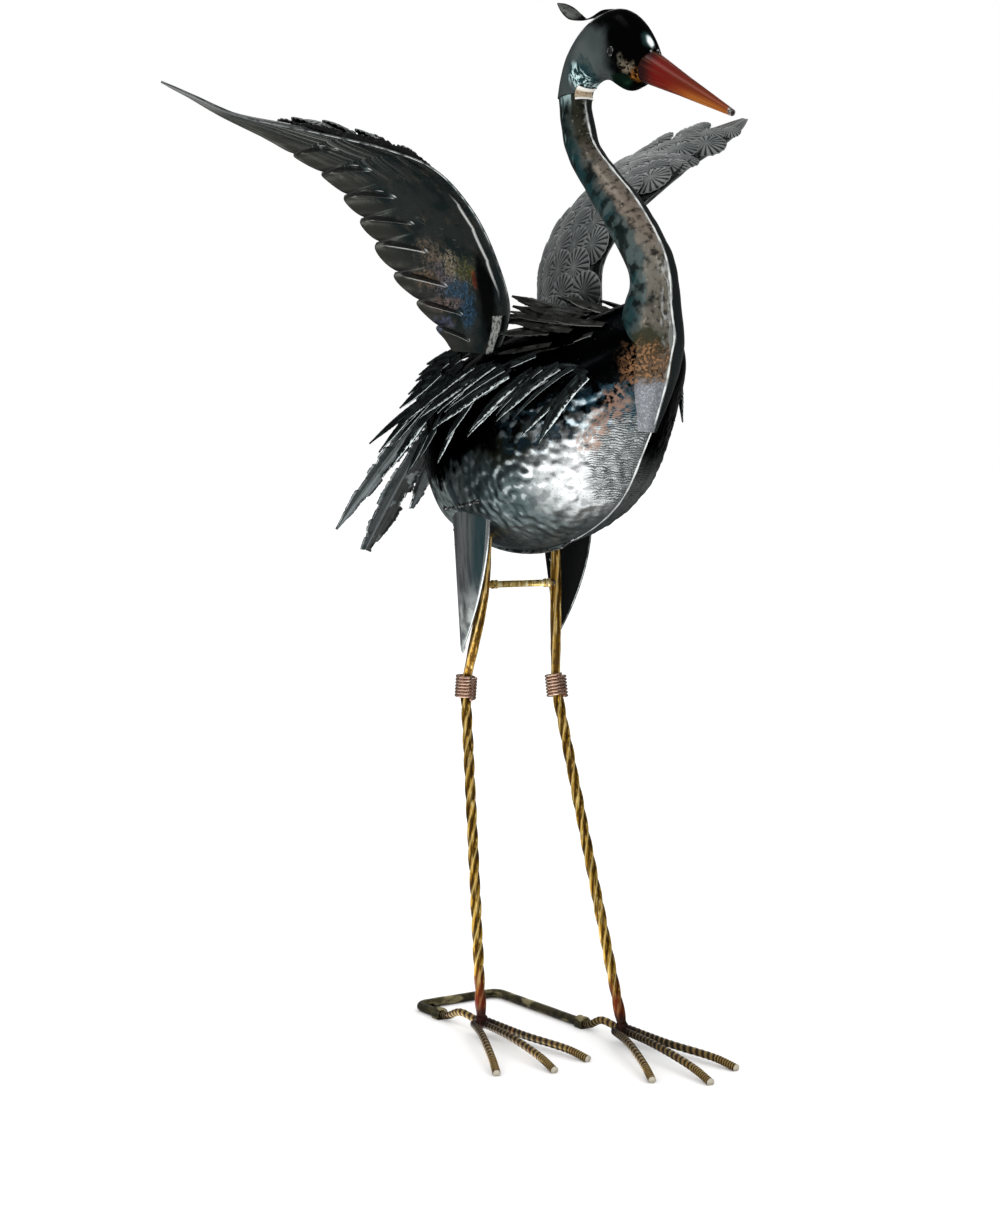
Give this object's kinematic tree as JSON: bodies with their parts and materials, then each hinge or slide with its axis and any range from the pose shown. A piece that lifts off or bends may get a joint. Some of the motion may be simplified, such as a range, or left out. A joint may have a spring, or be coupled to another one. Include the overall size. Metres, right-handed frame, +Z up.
{
  "type": "heron garden statue",
  "caption": "Standing metal heron with raised wings, curved neck, long beak and twisted legs, steadied by a wire loop behind its feet.",
  "frame": {"origin": "on the ground, at the middle of the box round the whole statue", "axes": "+X the way the bird faces, +Y its left side, +Z up"},
  "size_m": [0.3197, 0.4002, 0.6001],
  "materials": {
    "body_steel": "hammered, bright on the belly and smoked dark above",
    "neck_patina": "heat-tinted, dark teal behind and tan in front, satin",
    "head_black": "glossy black fading to grey",
    "beak_amber": "deep red fading to amber, gloss",
    "crest_dark": "dark gloss",
    "eye_ring": "dull metal",
    "wing_sheet": "dark grey gloss with heat tints",
    "wing_scale": "dark grey, grooved",
    "wing_bracket": "dull metal",
    "feather_black": "black with bright edges",
    "tail_feather": "dark teal-grey",
    "thigh_sheet": "brushed teal-grey steel with a bright front edge",
    "leg_gold": "antique gold",
    "copper_wire": "copper pink, satin",
    "toe_bronze": "dark bronze, worn to gold at the tips",
    "loop_bronze": "dark olive bronze"
  },
  "bodies": {
    "root": {"back_toe_left": "toe_bronze", "back_toe_right": "toe_bronze", "base_loop": "loop_bronze", "beak": "beak_amber", "body": "body_steel", "crest_plate": "crest_dark", "eye_left": "eye_ring", "eye_right": "eye_ring", "feathers_flank_left": "feather_black", "feathers_flank_right": "feather_black", "feathers_mantle_1": "feather_black", "feathers_mantle_2": "feather_black", "feathers_mantle_3": "feather_black", "feathers_mantle_4": "feather_black", "feathers_mantle_5": "feather_black", "feathers_rump_1": "feather_black", "feathers_rump_2": "feather_black", "feathers_shoulder_left": "feather_black", "feathers_shoulder_right": "feather_black", "head": "head_black", "knee_wrap_left": "copper_wire", "knee_wrap_right": "copper_wire", "leg_crossbar": "leg_gold", "loop_collar_left": "loop_bronze", "loop_collar_right": "loop_bronze", "lower_leg_left": "leg_gold", "lower_leg_right": "leg_gold", "neck": "neck_patina", "tail_left_inner": "tail_feather", "tail_left_outer": "tail_feather", "tail_middle": "tail_feather", "tail_right_inner": "tail_feather", "tail_right_outer": "tail_feather", "thigh_plate_left": "thigh_sheet", "thigh_plate_right": "thigh_sheet", "toe_left_inner": "toe_bronze", "toe_left_middle": "toe_bronze", "toe_left_outer": "toe_bronze", "toe_right_inner": "toe_bronze", "toe_right_middle": "toe_bronze", "toe_right_outer": "toe_bronze", "upper_leg_left": "leg_gold", "upper_leg_right": "leg_gold", "wing_left": "wing_sheet", "wing_right": "wing_sheet", "wing_scales_left": "wing_scale", "wing_scales_right": "wing_scale", "wing_tab_left": "wing_bracket", "wing_tab_right": "wing_bracket"}
  },
  "joints": []
}
